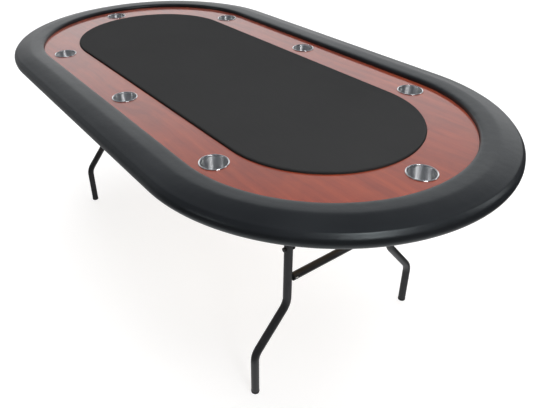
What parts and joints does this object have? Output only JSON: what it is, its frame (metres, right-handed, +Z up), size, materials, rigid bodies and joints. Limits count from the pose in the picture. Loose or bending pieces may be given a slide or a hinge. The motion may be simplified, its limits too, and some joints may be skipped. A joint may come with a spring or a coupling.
{
  "type": "poker table",
  "caption": "Oval folding poker table: padded black rail, red wood racetrack with steel cup holders, raised black cloth field, tubular steel legs that fold under the top.",
  "frame": {"origin": "on the floor, under the middle of the table top", "axes": "+X along the length of the table, +Y across it, +Z up"},
  "size_m": [2.118, 1.118, 0.787],
  "materials": {
    "plywood": "sanded plywood",
    "fibreboard": "raw fibreboard",
    "batten_pine": "planed softwood",
    "racetrack_veneer": "glossy red mahogany",
    "foam": "open-cell foam",
    "speed_cloth": "fine woven cloth, matt black",
    "black_vinyl": "grained vinyl, satin black",
    "polished_steel": "polished stainless steel",
    "black_plastic": "moulded black",
    "black_steel": "black oxide",
    "zinc_steel": "zinc plated",
    "black_powder_coat": "satin powder coat"
  },
  "bodies": {
    "table_top": {"base_board": "plywood", "hinge_battens": "batten_pine", "brace_battens": "batten_pine", "long_battens": "batten_pine", "batten_screws": "zinc_steel", "racetrack": "racetrack_veneer", "playfield_board": "fibreboard", "playfield_foam": "foam", "playing_cloth": "speed_cloth", "board_screws": "zinc_steel", "rail_core": "plywood", "rail_foam": "foam", "rail_vinyl": "black_vinyl", "rail_staples": "zinc_steel", "rail_bolts": "zinc_steel", "rail_washers": "zinc_steel", "rail_tee_nuts": "zinc_steel", "cup_front_left": "polished_steel", "cup_front_centre": "polished_steel", "cup_front_right": "polished_steel", "cup_right_end": "polished_steel", "cup_back_right": "polished_steel", "cup_back_centre": "polished_steel", "cup_back_left": "polished_steel", "cup_left_end": "polished_steel", "hinge_brackets_right": "black_powder_coat", "hinge_brackets_left": "black_powder_coat", "hinge_screws": "zinc_steel", "brace_brackets_right": "black_powder_coat", "brace_brackets_left": "black_powder_coat", "brace_bracket_screws": "zinc_steel", "bracket_rivets": "zinc_steel"},
    "leg_set_right": {"hinge_tube_right": "black_powder_coat", "hinge_plugs_right": "black_plastic", "leg_front_right": "black_powder_coat", "leg_back_right": "black_powder_coat", "crossbar_right": "black_powder_coat", "crossbar_lugs_right": "black_powder_coat", "crossbar_rivets_right": "zinc_steel", "brace_bolts_right": "black_steel", "foot_caps_right": "black_plastic"},
    "leg_set_left": {"hinge_tube_left": "black_powder_coat", "hinge_plugs_left": "black_plastic", "leg_front_left": "black_powder_coat", "leg_back_left": "black_powder_coat", "crossbar_left": "black_powder_coat", "crossbar_lugs_left": "black_powder_coat", "crossbar_rivets_left": "zinc_steel", "brace_bolts_left": "black_steel", "foot_caps_left": "black_plastic"},
    "upper_brace_right": {"upper_stays_right": "black_powder_coat", "knee_rivets_right": "zinc_steel"},
    "upper_brace_left": {"upper_stays_left": "black_powder_coat", "knee_rivets_left": "zinc_steel"},
    "lower_brace_right": {"lower_stays_right": "black_powder_coat", "knee_spacers_right": "zinc_steel"},
    "lower_brace_left": {"lower_stays_left": "black_powder_coat", "knee_spacers_left": "zinc_steel"}
  },
  "joints": [
    {"name": "leg_fold_right", "type": "hinge", "parent": "table_top", "child": "leg_set_right", "pos_m": [0.66, -0.016, 0.692], "axis": [0, 1, 0], "range_deg": [0, 90]},
    {"name": "upper_brace_turn_right", "type": "hinge", "parent": "table_top", "child": "upper_brace_right", "pos_m": [0.415, -0.016, 0.692], "axis": [0, 1, 0], "range_deg": [-36.3, 0]},
    {"name": "lower_brace_turn_right", "type": "hinge", "parent": "leg_set_right", "child": "lower_brace_right", "pos_m": [0.66, -0.016, 0.512], "axis": [0, 1, 0], "range_deg": [0, 53.7]},
    {"name": "leg_fold_left", "type": "hinge", "parent": "table_top", "child": "leg_set_left", "pos_m": [-0.66, 0.016, 0.692], "axis": [0, -1, 0], "range_deg": [0, 90]},
    {"name": "upper_brace_turn_left", "type": "hinge", "parent": "table_top", "child": "upper_brace_left", "pos_m": [-0.415, 0.016, 0.692], "axis": [0, -1, 0], "range_deg": [-36.3, 0]},
    {"name": "lower_brace_turn_left", "type": "hinge", "parent": "leg_set_left", "child": "lower_brace_left", "pos_m": [-0.66, 0.016, 0.512], "axis": [0, -1, 0], "range_deg": [0, 53.7]}
  ],
  "couplings": [
    {"joint": "upper_brace_turn_right", "follows": "leg_fold_right", "ratio": -0.40338},
    {"joint": "lower_brace_turn_right", "follows": "leg_fold_right", "ratio": 0.59662},
    {"joint": "upper_brace_turn_left", "follows": "leg_fold_left", "ratio": -0.40338},
    {"joint": "lower_brace_turn_left", "follows": "leg_fold_left", "ratio": 0.59662}
  ]
}
